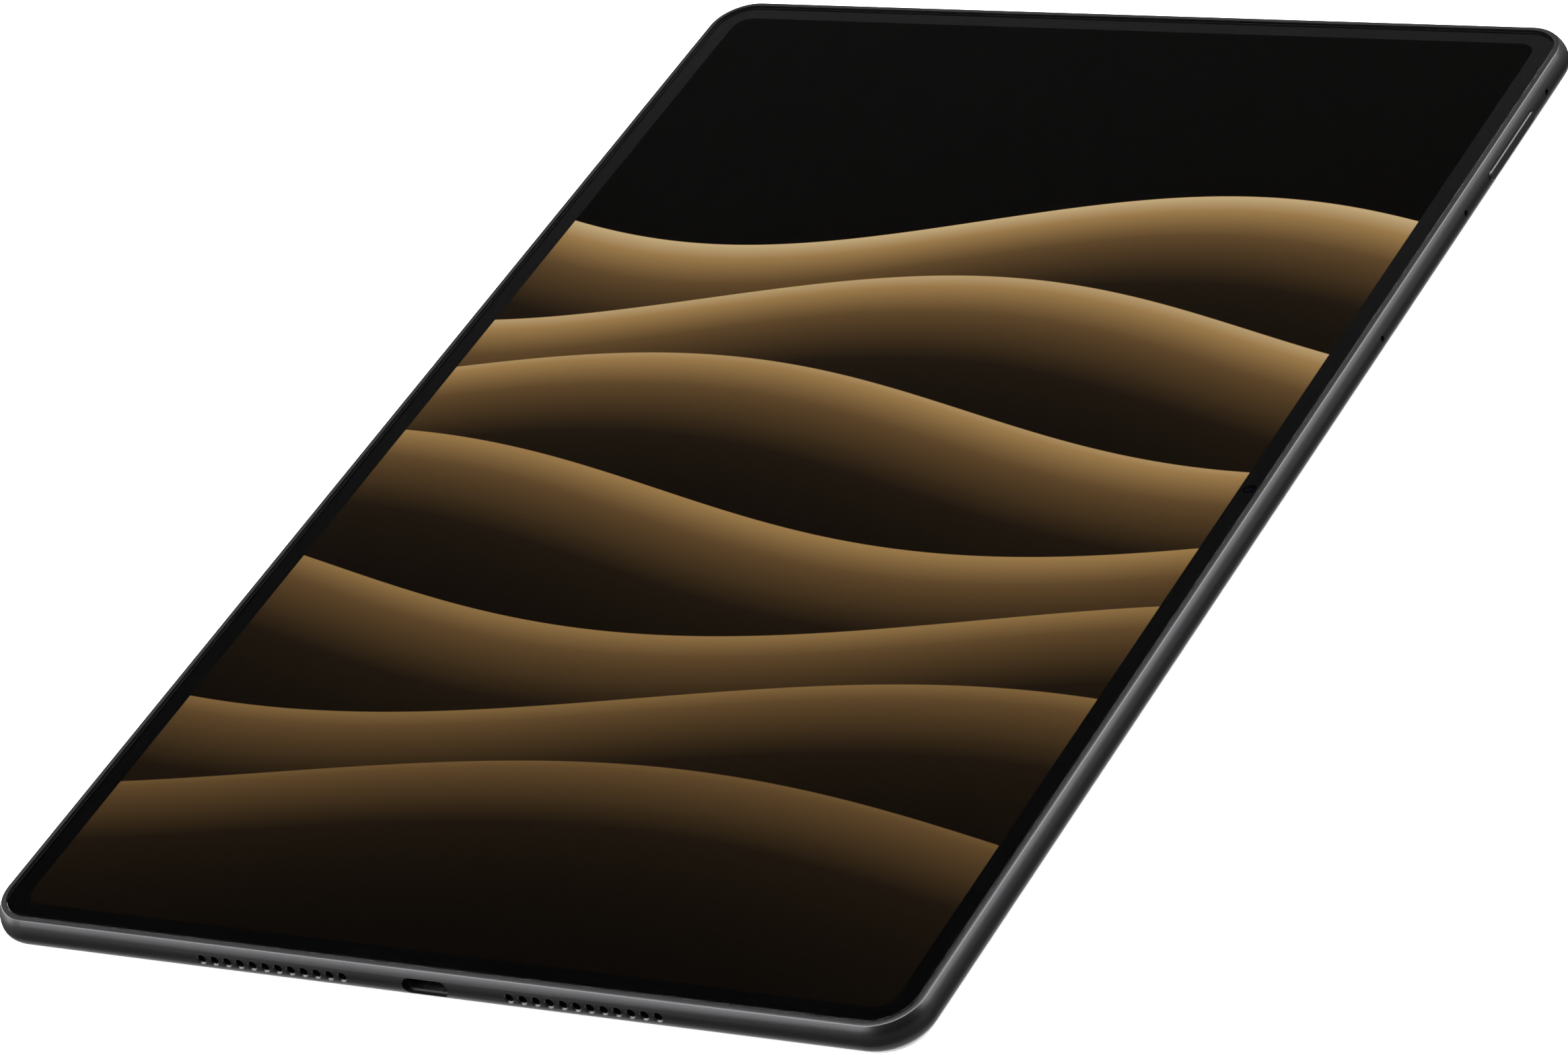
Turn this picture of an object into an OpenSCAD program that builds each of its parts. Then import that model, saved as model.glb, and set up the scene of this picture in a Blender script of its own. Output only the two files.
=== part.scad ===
// Tablet computer lying on its back. The origin is the centre of the flat back face.
// +Z is the screen's normal, +Y points to the far short side and +X to the side with the volume key.

/* [Body] */
// Width across the long sides, without the volume key
body_w = 182.5; // [181:0.1:186]
// Length across the short sides, without the power key
body_l = 271.3; // [270:0.1:276]
// Corner radius of the outline at its widest
corner_r = 8.9; // [8.5:0.1:10]
// Thickness of the back wall
back_t = 0.8; // [0.7:0.05:0.9]

/* [Screen] */
// Width of the lit display
display_w = 170.4; // [168:0.1:171]
// Length of the lit display
display_l = 259.6; // [256:0.1:261]
// Corner radius of the lit display
display_r = 3.4; // [2:0.1:6]

/* [Openings] */
// Speaker holes in each group
hole_count = 12; // [6:1:12]
// Distance between speaker holes
hole_pitch = 2.585; // [2.4:0.005:2.6]
// Diameter of a speaker hole
hole_d = 1.5; // [1.2:0.1:1.7]
// Diameter of a microphone pinhole
pinhole_d = 1.1; // [0.8:0.1:1.3]

/* [Keys] */
// Length of the volume rocker
rocker_l = 19.7; // [16:0.1:21]
// Length of the power button
power_l = 11.6; // [9:0.1:13]
// Height of both keys
key_h = 2; // [1.8:0.1:2.2]
// How far the keys stand out of the side
key_proud = 0.3; // [0.1:0.05:0.5]

/* [Rear camera] */
// How far the camera deck stands out of the back
deck_proud = 1.9; // [1.5:0.1:2]

/* [Hidden] */
$fn = 64;

// Heights above the back face
ledge_z = 4.3;
rim_z = 5.4;
glass_top_z = 5.5;
glass_z = 4.9;
mask_z = 4.85;
mask_top_z = 4.89;
panel_z = 4.3;
panel_back_z = 4.2;
plate_z = 3.9;
plate_t = 0.25;
cell_z = back_t + 0.15;
cell_top_z = 3.6;
board_z = 1.9;
board_t = 0.7;
board_top_z = board_z + board_t;
wall_hole_z = 2.75;
port_z = 2.6;
connector_h = 0.6;
flex_t = 0.1;
link_z = 3.62;

// Side wall: a large arc above, a small arc below, both tangent to the widest line
wall_bulge = 2;
lower_arc_r = 2;
upper_arc_r = 4.96;
upper_arc_z = 2.2;

// Rounded lip where the upper arc meets the rim: the small circle lies inside the large one
lip_r = 0.3;
lip_rise = rim_z - lip_r - upper_arc_z;
lip_angle = asin(lip_rise / (upper_arc_r - lip_r));
lip_x = corner_r - upper_arc_r + (upper_arc_r - lip_r) * cos(lip_angle);

// Outlines, as half width, half length and corner radius
half_w = body_w / 2;
half_l = body_l / 2;
glass_x = half_w - wall_bulge;
glass_y = half_l - wall_bulge;
glass_r = corner_r - wall_bulge;
glass_edge_r = 0.4;
glass_gap = 0.02;
gasket_w = 0.43;
edge_gap = 0.1;
adhesive_w = 1.55;
panel_inset = adhesive_w + edge_gap;
back_plate_gap = 0.3;
mid_plate_gap = 0.2;
pocket_inset = 2.35;
pocket_x = glass_x - pocket_inset;
pocket_y = glass_y - pocket_inset;
pocket_r = glass_r - pocket_inset;
over = 1;

// Front camera and light sensor, in the border of the +X side
camera_x = half_w - 4.15;
camera_y = 0.5;
camera_window_d = 2.4;
sensor_x = half_w - 3.95;
sensor_y = -12.4;
sensor_l = 3;
sensor_w = 1.2;
window_gap = 0.04;
clearance_d = 3.8;
sensor_half_w = 1;
sensor_half_l = 2.2;
notch_wall = 2.5;
notch_near = 2.6;
notch_far = 4;
can_foot_z = 1;
can_base_t = 0.2;
can_top_z = 4;
can_in = 2.6;
can_out = 1.6;
can_half_l = 2.8;
lens_foot_z = 2.2;
lens_flange_z = 4.4;
lens_top_z = 4.8;
light_sensor_z = 3.9;

// Keys: middle of the rocker along Y, middle of the power button along X
rocker_y = 102.3;
power_x = 66;
key_z = 2.6;
key_gap = 0.12;
key_edge_r = 0.35;
seat_grow_l = 2.8;
seat_grow_h = 1;
flange_t = 1;
flange_lip = 0.9;
flange_gap = 0.3;
flange_grow_h = 0.5;
rest_gap = 0.05;
shoulder = 2.65;
nub_d = 1.4;
nub_l = 0.5;
nub_reach = 6.5;
pinhole_y = [118.5, 81.9, 45.5];
key_flex_t = 0.1;
key_flex_z = 1.3;
key_flex_h = 2.5;
bracket_top_z = 3.8;
bracket_t = 0.2;
bracket_in = 1.1;
bracket_foot = 2.2;
dome_plate_t = 0.45;
dome_h = 0.7;
switch_inset = 1;
pivot_x = half_w - shoulder - flange_gap - flange_t / 2;
pivot_d = 0.8;
pivot_gap = 0.05;
pivot_foot_z = 0.65;
pivot_top_z = 4.2;

// USB-C port
port_w = 8.94;
port_h = 3;
shell_w = 8.74;
shell_h = 2.96;
shell_t = 0.2;
shell_front = half_l - 1.1;
shell_l = 7.4;
shell_back = shell_l - shell_front;
tongue_base = 1.4;
tongue_tip = 1.6;
tongue_half_w = 3.345;
tongue_t = 0.7;
insert_gap = 0.04;
contact_count = 12;
contact_pitch = 0.5;
contact_w = 0.26;
contact_t = 0.06;
contact_l = 3.8;
contact_u = 0.38;
contact_depth = 3.9;
sub_board_z = 1.3;
sub_board_top_z = 2;
sub_board_y0 = 0.7 - pocket_y;
sub_board_y1 = -106;
sub_chip_h = 0.9;
ear_l = 2;

// Speakers
speaker_x = 30.65;
speaker_y = half_l - 17.65;
speaker_l = 42;
speaker_d = 26;
speaker_z = 1;
speaker_h = 2.8;
speaker_wall = 0.6;
speaker_skin = 0.4;
slot_half_l = 16;
mesh_half_l = 17;
mesh_foot_z = 1.2;
mesh_top_z = 3.8;
ear_x = 23;
ear_y = 6;
ear_d = 4;
ear_top_z = 2.6;
ear_boss_z = speaker_z + 0.8;
yoke_t = 0.2;
magnet_t = 0.9;
magnet_w = 2;
coil_l = 20;
coil_w = 7.4;
coil_t = 0.6;
coil_h = 0.95;
skin_l = 27;
skin_w = 14;
skin_t = 0.08;
ring_t = 0.07;
ring_l = 25.6;
ring_w = 1.5;

// Outer flare of a speaker hole
hole_flare = 0.6;
hole_flare_l = 0.3;
hole_flare_in = 0.25;

// Microphones behind the pinholes
mic_h = 2.2;
mic_l = 3.4;
mic_t = 0.95;
mic_gap = 0.05;

// Rear camera deck
deck_x = 67.5;
deck_y = 106;
deck_half_w = 10.5;
deck_half_l = 20.5;
deck_r = 8;
main_lens_y = deck_y + 11.5;
wide_lens_y = deck_y - 1.5;
flash_y = deck_y - 12.5;
barrel_r = 3.3;
deck_edge_r = 0.7;
deck_glass_z = -1.15;
deck_gap = 0.05;
deck_frame_w = 2.7;
deck_rebate_w = 1.2;
deck_flange_w = 1;
deck_flange_t = 0.3;
glass_sink = 0.1;
barrel_gap = 0.06;
barrel_foot_z = -0.75;
barrel_top_z = 2.7;
mouth_d = 5.2;
mouth_z = -0.45;
iris_d = 3.8;
iris_z = -0.15;
lens_can_half = 5;
lens_can_foot_z = -0.9;
lens_can_top_z = 3.2;
chip_r = 0.3;
sensor_board_half = 5.2;
sensor_board_t = 0.4;
wide_half = 4;
wide_top_z = 3.4;
wide_lens_d = 5;
window_top_z = -1.05;
wide_foot_z = -0.4;
flash_d = 4.4;
flash_foot_z = -0.2;
flash_half = 2.7;

// Main board: centre and half size; chips as centre X, centre Y, width, length and height
board_at = [67, -9];
board_half = [17, 92];
processor = [65, 30, 14, 14, 0.85];
memory = [77.2, 30, 8, 12, 0.8];
storage = [68, 50, 13, 11.5, 0.8];
power_control = [62, -2, 7, 7, 0.7];
wireless = [72, -24, 9, 9, 0.75];
shield_left = 56.5;
shield_wall = 0.15;
shield_h = 1.1;
sheet_t = 0.1;
sheet_gap = 0.05;

// Battery: centre along X, half width, and the far end of each cell
cell_x = -19.5;
cell_half_w = 62.5;
cell_far_y = 101.5;
cell_near_y = 1;
cell_r = 3;
tab_w = 3;
tab_inset = 6;
strip_x0 = -78;
strip_x1 = 38;
strip_half_l = 8;

// Openings of the mid plate over the battery cells
opening_x = [-50, 10];
opening_y = 52;
opening_half = [26, 42];
opening_r = 4;

// Antennas and magnets for a case
antenna_at = [[-70, 118], [-70, -118], [70, -118]];
antenna_half = [11.5, 10];
antenna_top_z = 2.6;
trace_t = 0.1;
case_magnet_y = [-75, -25, 25, 75];
case_magnet_w = 2.5;
case_magnet_top_z = 3.4;
case_magnet_half_l = 8;

// Screws
boss_d = 3.2;
screw_d = 1.4;
screw_head_d = 2.6;
board_head_h = 0.5;
thread_gap = 0.04;
frame_hole_z = back_t + 0.3;
board_hole_z = back_t + 0.1;
hole_rest = 0.1;
plate_hole_gap = 0.1;
left_screw_x = 2.3 - pocket_x;
right_screw_x = pocket_x - 2.9;
end_screw_x = 56.5;
end_screw_y = 127;
right_screw_y = [-100, -58, 28, 66];
frame_screw_at = [for (y = [-100, -50, 0, 50, 100]) [left_screw_x, y],
    for (y = right_screw_y) [right_screw_x, y],
    [-end_screw_x, -end_screw_y], [-end_screw_x, end_screw_y], [end_screw_x, -end_screw_y]];
board_screw_at = [[53, -97], [81, -97], [53, 79], [81, 79], [81, -34]];
speaker_screw_at = [for (x = [-1, 1]) for (y = [-1, 1])
    [x * (speaker_x + ear_x), y * (speaker_y - ear_y)]];

// ---------- shared shapes ----------

// Rounded rectangle from half sizes and a corner radius, made of straight sides and true arcs
module plate2d(hx, hy, r) {
    square([2 * hx, 2 * (hy - r)], center = true);
    square([2 * (hx - r), 2 * hy], center = true);
    for (sx = [-1, 1]) for (sy = [-1, 1]) translate([sx * (hx - r), sy * (hy - r)]) circle(r);
}

module slab(hx, hy, r, z0, z1) {
    translate([0, 0, z0]) linear_extrude(z1 - z0) plate2d(hx, hy, r);
}

// Stadium of full length l and height h, its length along X
module stadium2d(l, h) {
    square([l - h, h], center = true);
    for (s = [-1, 1]) translate([s * (l - h) / 2, 0]) circle(d = h);
}

// Sweeps a profile (X outward from the corner's centre, Y up) round a rounded rectangle
module swept(hx, hy, r) {
    for (q = [0:3]) {
        a = q % 2 == 0 ? hx - r : hy - r;
        b = q % 2 == 0 ? hy - r : hx - r;
        rotate([0, 0, 90 * q]) translate([a, b, 0]) {
            rotate_extrude(angle = 90) children();
            rotate([90, 0, 0]) linear_extrude(2 * b) children();
        }
    }
}

module core(hx, hy, r, z0, z1) {
    translate([r - hx, r - hy, z0]) cube([2 * (hx - r), 2 * (hy - r), z1 - z0]);
}

// Turns a flat shape to face +X, +Y or -Y, its extrusion pointing outward
module facing_right() rotate([90, 0, 90]) children();
module facing_far() rotate([90, 0, 180]) children();
module facing_near() rotate([90, 0, 0]) children();

module block(x0, x1, y0, y1, z0, z1) {
    translate([x0, y0, z0]) cube([x1 - x0, y1 - y0, z1 - z0]);
}

module pin(p, d, z0, z1) {
    translate([p[0], p[1], z0]) cylinder(d = d, h = z1 - z0);
}

// ---------- housing ----------

module wall_profile() {
    foot = corner_r - lower_arc_r;
    square([foot, upper_arc_z]);
    intersection() {
        translate([foot, lower_arc_r]) circle(lower_arc_r);
        square([corner_r, lower_arc_r]);
    }
    translate([0, lower_arc_r]) square([corner_r, upper_arc_z - lower_arc_r]);
    difference() {
        intersection() {
            translate([corner_r - upper_arc_r, upper_arc_z]) circle(upper_arc_r, $fn = 128);
            translate([0, upper_arc_z]) square([corner_r, rim_z - upper_arc_z]);
        }
        translate([lip_x, rim_z - lip_r]) intersection() {
            rotate(lip_angle) square(1);
            square(1);
        }
    }
    translate([lip_x, rim_z - lip_r]) circle(lip_r);
}

module speaker_holes(side) {
    for (s = [-1, 1]) for (i = [0:hole_count - 1]) {
        x = s * speaker_x + (i - (hole_count - 1) / 2) * hole_pitch;
        translate([x, side * (pocket_y - over), wall_hole_z]) rotate([-90 * side, 0, 0]) {
            cylinder(d = hole_d, h = 2 * over + pocket_inset + wall_bulge);
            translate([0, 0, over + pocket_inset + wall_bulge - hole_flare_in])
                cylinder(d1 = hole_d, d2 = hole_d + hole_flare, h = hole_flare_l);
        }
    }
}

// Stadium tunnel of a key with the wider seat of its flange behind
module key_opening(l) {
    linear_extrude(shoulder + over) stadium2d(l + 2 * key_gap, key_h + 2 * key_gap);
    translate([0, 0, -over - pocket_inset - wall_bulge + shoulder])
        linear_extrude(over + pocket_inset + wall_bulge - shoulder)
            stadium2d(l + seat_grow_l, key_h + seat_grow_h);
}

// Slot of the rocker's pivot pin, open towards the inside for assembly
module pivot_slot() {
    width = pivot_d + 2 * pivot_gap;
    translate([pivot_x, rocker_y, pivot_foot_z - pivot_gap]) linear_extrude(ledge_z) {
        circle(d = width);
        translate([-2 * over, -width / 2]) square([2 * over, width]);
    }
}

module right_key_place() translate([half_w - shoulder, rocker_y, key_z]) facing_right() children();
module far_key_place() translate([power_x, half_l - shoulder, key_z]) facing_far() children();

module deck_place() translate([deck_x, deck_y, 0]) children();

module front_camera_notch() {
    block(pocket_x - over, half_w - notch_wall, sensor_y - notch_near, camera_y + notch_far,
        can_foot_z, ledge_z + over);
}

module rear_housing() {
    color("dimgray") difference() {
        union() {
            difference() {
                union() {
                    swept(half_w, half_l, corner_r) wall_profile();
                    core(half_w, half_l, corner_r, 0, rim_z);
                }
                slab(pocket_x, pocket_y, pocket_r, back_t, ledge_z + over);
                slab(glass_x + gasket_w, glass_y + gasket_w, glass_r + gasket_w, ledge_z, rim_z + over);
                front_camera_notch();
            }
            for (p = frame_screw_at) pin(p, boss_d, back_t, plate_z);
            for (p = board_screw_at) pin(p, boss_d, back_t, board_z);
            for (p = speaker_screw_at) pin(p, boss_d, back_t, ear_boss_z);
        }
        for (p = frame_screw_at) pin(p, screw_d + thread_gap, frame_hole_z, plate_z + over);
        for (p = concat(board_screw_at, speaker_screw_at))
            pin(p, screw_d + thread_gap, board_hole_z, board_z + over);
        for (side = [-1, 1]) speaker_holes(side);
        for (y = pinhole_y) translate([pocket_x - over, y, wall_hole_z]) rotate([0, 90, 0])
            cylinder(d = pinhole_d, h = 2 * over + pocket_inset + wall_bulge);
        translate([0, over - pocket_y, port_z]) facing_near()
            linear_extrude(2 * over + pocket_inset + wall_bulge) stadium2d(port_w, port_h);
        right_key_place() key_opening(rocker_l);
        far_key_place() key_opening(power_l);
        pivot_slot();
        deck_place()
            slab(deck_half_w + deck_gap, deck_half_l + deck_gap, deck_r + deck_gap, -over, back_t + over);
    }
}

module front_gasket() {
    color("black") difference() {
        slab(glass_x + gasket_w, glass_y + gasket_w, glass_r + gasket_w, ledge_z, rim_z);
        slab(glass_x + glass_gap, glass_y + glass_gap, glass_r + glass_gap, ledge_z - over, rim_z + over);
    }
}

// ---------- screen ----------

module glass_profile() {
    height = glass_top_z - glass_z;
    square([glass_r - glass_edge_r, height]);
    square([glass_r, height - glass_edge_r]);
    intersection() {
        translate([glass_r - glass_edge_r, height - glass_edge_r]) circle(glass_edge_r);
        square([glass_r, height]);
    }
}

module cover_glass() {
    color("slategray", 0.4) translate([0, 0, glass_z]) {
        swept(glass_x, glass_y, glass_r) glass_profile();
        core(glass_x, glass_y, glass_r, 0, glass_top_z - glass_z);
    }
}

module sensor_shape2d(grow) {
    translate([sensor_x, sensor_y]) rotate(90) stadium2d(sensor_l + grow, sensor_w + grow);
}

module bezel_mask() {
    color("black") translate([0, 0, mask_z]) linear_extrude(mask_top_z - mask_z) difference() {
        plate2d(glass_x - edge_gap, glass_y - edge_gap, glass_r - edge_gap);
        plate2d(display_w / 2, display_l / 2, display_r);
        translate([camera_x, camera_y]) circle(d = camera_window_d);
        sensor_shape2d(0);
    }
}

module camera_clearance(z0, z1) {
    pin([camera_x, camera_y], clearance_d, z0, z1);
    block(camera_x, half_w, camera_y - clearance_d / 2, camera_y + clearance_d / 2, z0, z1);
    block(sensor_x - sensor_half_w, half_w, sensor_y - sensor_half_l, sensor_y + sensor_half_l, z0, z1);
}

module display_adhesive() {
    color("darkslategray") difference() {
        slab(glass_x - edge_gap, glass_y - edge_gap, glass_r - edge_gap, ledge_z, mask_z);
        slab(glass_x - adhesive_w, glass_y - adhesive_w, glass_r - adhesive_w,
            ledge_z - over, mask_z + over);
        camera_clearance(ledge_z - over, mask_z + over);
    }
}

module display_panel() {
    color("midnightblue") difference() {
        slab(glass_x - panel_inset, glass_y - panel_inset, glass_r - panel_inset, panel_z, mask_z);
        camera_clearance(panel_z - over, mask_z + over);
    }
}

module display_back_plate() {
    color("silver") difference() {
        slab(pocket_x - back_plate_gap, pocket_y - back_plate_gap, pocket_r - back_plate_gap,
            panel_back_z, panel_z);
        camera_clearance(panel_back_z - over, panel_z + over);
    }
}

module display_flex() {
    color("darkorange") {
        block(20, 62, -80, -66, plate_z + plate_t, panel_back_z);
        block(61.8, 62, -80, -66, board_top_z + connector_h, plate_z + plate_t);
        block(58, 64, -79, -67, board_top_z, board_top_z + connector_h);
    }
}

module mid_plate() {
    color("lightsteelblue") difference() {
        slab(pocket_x - mid_plate_gap, pocket_y - mid_plate_gap, pocket_r - mid_plate_gap,
            plate_z, plate_z + plate_t);
        for (s = [-1, 1]) for (x = opening_x) translate([x, s * opening_y, 0])
            slab(opening_half[0], opening_half[1], opening_r, plate_z - over, plate_z + over);
        block(-10, 10, -half_l, 9 - pocket_y, plate_z - over, plate_z + over);
        block(camera_x - 4, half_w, sensor_y - 3, camera_y + 5, plate_z - over, plate_z + over);
        block(60, 64, -81, -65, plate_z - over, plate_z + over);
        for (p = frame_screw_at) translate([p[0], p[1], plate_z])
            cylinder(d1 = screw_d + plate_hole_gap, d2 = screw_head_d + plate_hole_gap, h = plate_t);
        for (p = frame_screw_at) pin(p, screw_d + plate_hole_gap, plate_z - over, plate_z + plate_t / 4);
    }
}

module front_camera_block(z0, z1) {
    block(camera_x - can_in, camera_x + can_out, camera_y - can_half_l, camera_y + can_half_l, z0, z1);
}

module front_camera_can() {
    color("dimgray") difference() {
        front_camera_block(can_foot_z + can_base_t, can_top_z);
        pin([camera_x, camera_y], camera_window_d, lens_foot_z - can_base_t, can_top_z + over);
    }
    color("darkgoldenrod") front_camera_block(can_foot_z, can_foot_z + can_base_t);
}

module front_camera_lens() {
    color("midnightblue") {
        pin([camera_x, camera_y], 2.3, lens_foot_z, can_top_z);
        pin([camera_x, camera_y], 3.2, can_top_z, lens_flange_z);
        pin([camera_x, camera_y], 2.2, lens_flange_z, lens_top_z);
    }
}

module sensor_window() {
    color("indigo") translate([0, 0, mask_z]) linear_extrude(mask_top_z - mask_z)
        sensor_shape2d(-window_gap);
}

module light_sensor() {
    color("darkslateblue") {
        block(sensor_x - 0.9, sensor_x + 0.9, sensor_y - 1.6, sensor_y + 1.6,
            light_sensor_z + can_base_t, 4.7);
        block(sensor_x - 1.6, sensor_x + 1, sensor_y - 2, sensor_y + 2,
            light_sensor_z, light_sensor_z + can_base_t);
    }
}

// ---------- boards and battery ----------

module main_board() {
    color("darkgreen") difference() {
        translate([board_at[0], board_at[1], 0])
            slab(board_half[0], board_half[1], 2, board_z, board_top_z);
        for (p = board_screw_at) pin(p, screw_d + 0.3, board_z - over, board_top_z + over);
        for (y = right_screw_y) pin([right_screw_x, y], boss_d + 0.6, board_z - over, board_top_z + over);
    }
}

module chip(c) {
    translate([c[0], c[1], 0]) slab(c[2] / 2, c[3] / 2, chip_r, board_top_z, board_top_z + c[4]);
}

module processor_chip() color("black") chip(processor);
module memory_chip() color("darkslategray") chip(memory);
module storage_chip() color("black") chip(storage);
module power_chip() color("darkslategray") chip(power_control);
module wireless_chip() color("black") chip(wireless);

// Open-bottomed can with rounded corners, soldered round the chips
module shield_can(x0, x1, y0, y1) {
    hx = (x1 - x0) / 2;
    hy = (y1 - y0) / 2;
    translate([(x0 + x1) / 2, (y0 + y1) / 2, 0]) difference() {
        slab(hx, hy, 1, board_top_z, board_top_z + shield_h);
        slab(hx - shield_wall, hy - shield_wall, 1 - shield_wall,
            board_top_z - over, board_top_z + shield_h - shield_wall);
    }
}

module board_shields() {
    color("silver") {
        shield_can(shield_left, 82.2, 18, 60);
        shield_can(shield_left, 80, -31, 6);
    }
}

module thermal_sheet() {
    color("darkslategray") difference() {
        block(-78, 82, -93, 80, plate_z - sheet_gap - sheet_t, plate_z - sheet_gap);
        block(58, 66, -82, -64, 0, plate_z + over);
    }
}

module battery_cell(y0, y1) {
    side = cell_x + cell_half_w - 1;
    translate([cell_x, (y0 + y1) / 2, 0]) slab(cell_half_w, (y1 - y0) / 2, cell_r, cell_z, cell_top_z);
    block(side, side + tab_w, y0 + tab_inset, y1 - tab_inset, cell_z, cell_z + 0.6);
}

module battery_cell_lower() color("silver") battery_cell(-cell_far_y, -cell_near_y);
module battery_cell_upper() color("silver") battery_cell(cell_near_y, cell_far_y);

module battery_adhesive() {
    color("white") for (y = [-90, -14, 14, 90])
        block(strip_x0, strip_x1, y - strip_half_l, y + strip_half_l, back_t, cell_z);
}

module battery_protection_board() {
    color("darkgreen") {
        block(45.4, 48.8, -60, 60, 1.2, 1.9);
        block(46, 48.4, -58, -40, 1.9, 2.6);
        block(46, 48.4, 20, 44, 1.9, 2.6);
    }
    color("darkorange") block(48.8, 52, -7, 7, 2.6, 2.75);
    color("darkorange") block(47.6, 48.8, -7, 7, 1.9, 2.75);
}

// ---------- USB-C port ----------

module port_place() translate([0, -shell_front, port_z]) facing_far() children();

module usb_sub_board() {
    color("darkgreen") difference() {
        block(-9, 9, sub_board_y0, sub_board_y1, sub_board_z, sub_board_top_z);
        block(-4.6, 4.6, -half_l, shell_back + 0.2, 0, 3);
    }
    color("black") for (s = [-1, 1])
        block(s * 5 - 1.5, s * 5 + 1.5, -122, -118, sub_board_top_z, sub_board_top_z + sub_chip_h);
}

module usb_c_shell() {
    color("gray") {
        port_place() linear_extrude(shell_l) difference() {
            stadium2d(shell_w, shell_h);
            stadium2d(shell_w - 2 * shell_t, shell_h - 2 * shell_t);
        }
        for (s = [-1, 1]) block(s * 5.4 - 1.25, s * 5.4 + 1.25, sub_board_y0 + shell_t,
            sub_board_y0 + shell_t + ear_l, sub_board_top_z, sub_board_top_z + shell_t);
    }
}

module usb_c_tongue() {
    color("black") port_place() {
        translate([0, 0, shell_l - tongue_base]) linear_extrude(tongue_base)
            stadium2d(shell_w - 2 * shell_t - insert_gap, shell_h - 2 * shell_t - insert_gap);
        translate([-tongue_half_w, -tongue_t / 2, tongue_tip])
            cube([2 * tongue_half_w, tongue_t, shell_l - tongue_base - tongue_tip]);
    }
}

module usb_c_contacts() {
    color("gold") port_place() for (i = [0:contact_count - 1]) for (s = [-1, 1])
        translate([(i - (contact_count - 1) / 2) * contact_pitch, s * contact_u, contact_depth])
            cube([contact_w, contact_t, contact_l], center = true);
}

module board_link_flex() {
    color("darkorange") {
        block(-6, 6, -114, -95, link_z, link_z + flex_t);
        block(6, 58, -100, -95, link_z, link_z + flex_t);
        block(-5, 5, -113, -109, sub_board_top_z, link_z);
        block(55.5, 58, -93.4, -89, board_top_z, link_z);
        block(55.5, 58, -95.5, -89, link_z, link_z + flex_t);
    }
}

// ---------- speakers ----------

// Places a speaker by its number: 1 and 2 at the near side, 3 and 4 at the far side
module at_speaker(n) {
    sx = n % 2 == 1 ? -1 : 1;
    sy = n <= 2 ? -1 : 1;
    translate([sx * speaker_x, sy * speaker_y, 0]) rotate([0, 0, sy > 0 ? 180 : 0])
        mirror([sx * sy < 0 ? 1 : 0, 0, 0]) children();
}

// The box has its sound slot at -Y and its screw ear at the outer end
module speaker_box() {
    color("black") difference() {
        union() {
            slab(speaker_l / 2, speaker_d / 2, 1.5, speaker_z, speaker_z + speaker_h);
            pin([-ear_x, ear_y], ear_d, 0, ear_top_z);
            block(-ear_x, 1 - speaker_l / 2, ear_y - ear_d / 2, ear_y + ear_d / 2, speaker_z, ear_top_z);
        }
        pin([-ear_x, ear_y], ear_d + 0.4, speaker_z - over, ear_boss_z);
        pin([-ear_x, ear_y], screw_d + 0.2, 0, ear_top_z + over);
        slab(speaker_l / 2 - speaker_wall, speaker_d / 2 - speaker_wall, 1.5 - speaker_wall,
            speaker_z + speaker_skin, speaker_z + speaker_h - speaker_skin);
        block(-slot_half_l, slot_half_l, -speaker_d, 1 - speaker_d / 2, speaker_z + 1, speaker_z + 2.2);
    }
}

module speaker_magnets() {
    color("silver") for (n = [1:4]) at_speaker(n) {
        yoke_z = speaker_z + speaker_skin;
        slab(11.5, 7, 1, yoke_z, yoke_z + yoke_t);
        translate([0, 0, yoke_z + yoke_t]) linear_extrude(magnet_t) stadium2d(17, 4.8);
        for (s = [-1, 1]) block(-8, 8, s * 5.4 - magnet_w / 2, s * 5.4 + magnet_w / 2,
            yoke_z + yoke_t, yoke_z + yoke_t + magnet_t);
    }
}

// The diaphragm carries its racetrack voice coil below and a stiff cap above
module speaker_diaphragm() {
    color("darkslategray") translate([0, 0, speaker_z + 1]) {
        linear_extrude(coil_h) difference() {
            stadium2d(coil_l, coil_w);
            stadium2d(coil_l - 2 * coil_t, coil_w - 2 * coil_t);
        }
        translate([0, 0, coil_h]) linear_extrude(skin_t) stadium2d(skin_l, skin_w);
        translate([0, 0, coil_h + skin_t]) linear_extrude(ring_t) {
            difference() {
                stadium2d(ring_l, ring_l - skin_l + skin_w);
                stadium2d(ring_l - 2 * ring_w, ring_l - skin_l + skin_w - 2 * ring_w);
            }
            stadium2d(18, 6);
        }
    }
}

module speaker_mesh() {
    color("black") for (n = [1:4]) at_speaker(n)
        block(-mesh_half_l, mesh_half_l, speaker_y - pocket_y, -speaker_d / 2, mesh_foot_z, mesh_top_z);
}

module microphones() {
    color("gold") for (y = pinhole_y)
        block(pocket_x - mic_gap - mic_t, pocket_x - mic_gap, y - mic_l / 2, y + mic_l / 2,
            wall_hole_z - mic_h / 2, wall_hole_z + mic_h / 2);
}

// ---------- keys ----------

// Stadium bar from z0 to z1 whose outer edge is rounded
module key_bar(l, h, z0, z1, r) {
    module half_profile() {
        translate([0, z0]) square([h / 2 - r, z1 - z0]);
        translate([0, z0]) square([h / 2, z1 - z0 - r]);
        translate([h / 2 - r, z1 - r]) circle(r);
    }
    straight = l - h;
    translate([-straight / 2, 0, 0]) facing_right() linear_extrude(straight) {
        half_profile();
        mirror([1, 0]) half_profile();
    }
    for (s = [0, 180]) rotate([0, 0, s]) translate([straight / 2, 0, 0]) rotate([0, 0, -90])
        rotate_extrude(angle = 180) half_profile();
}

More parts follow.
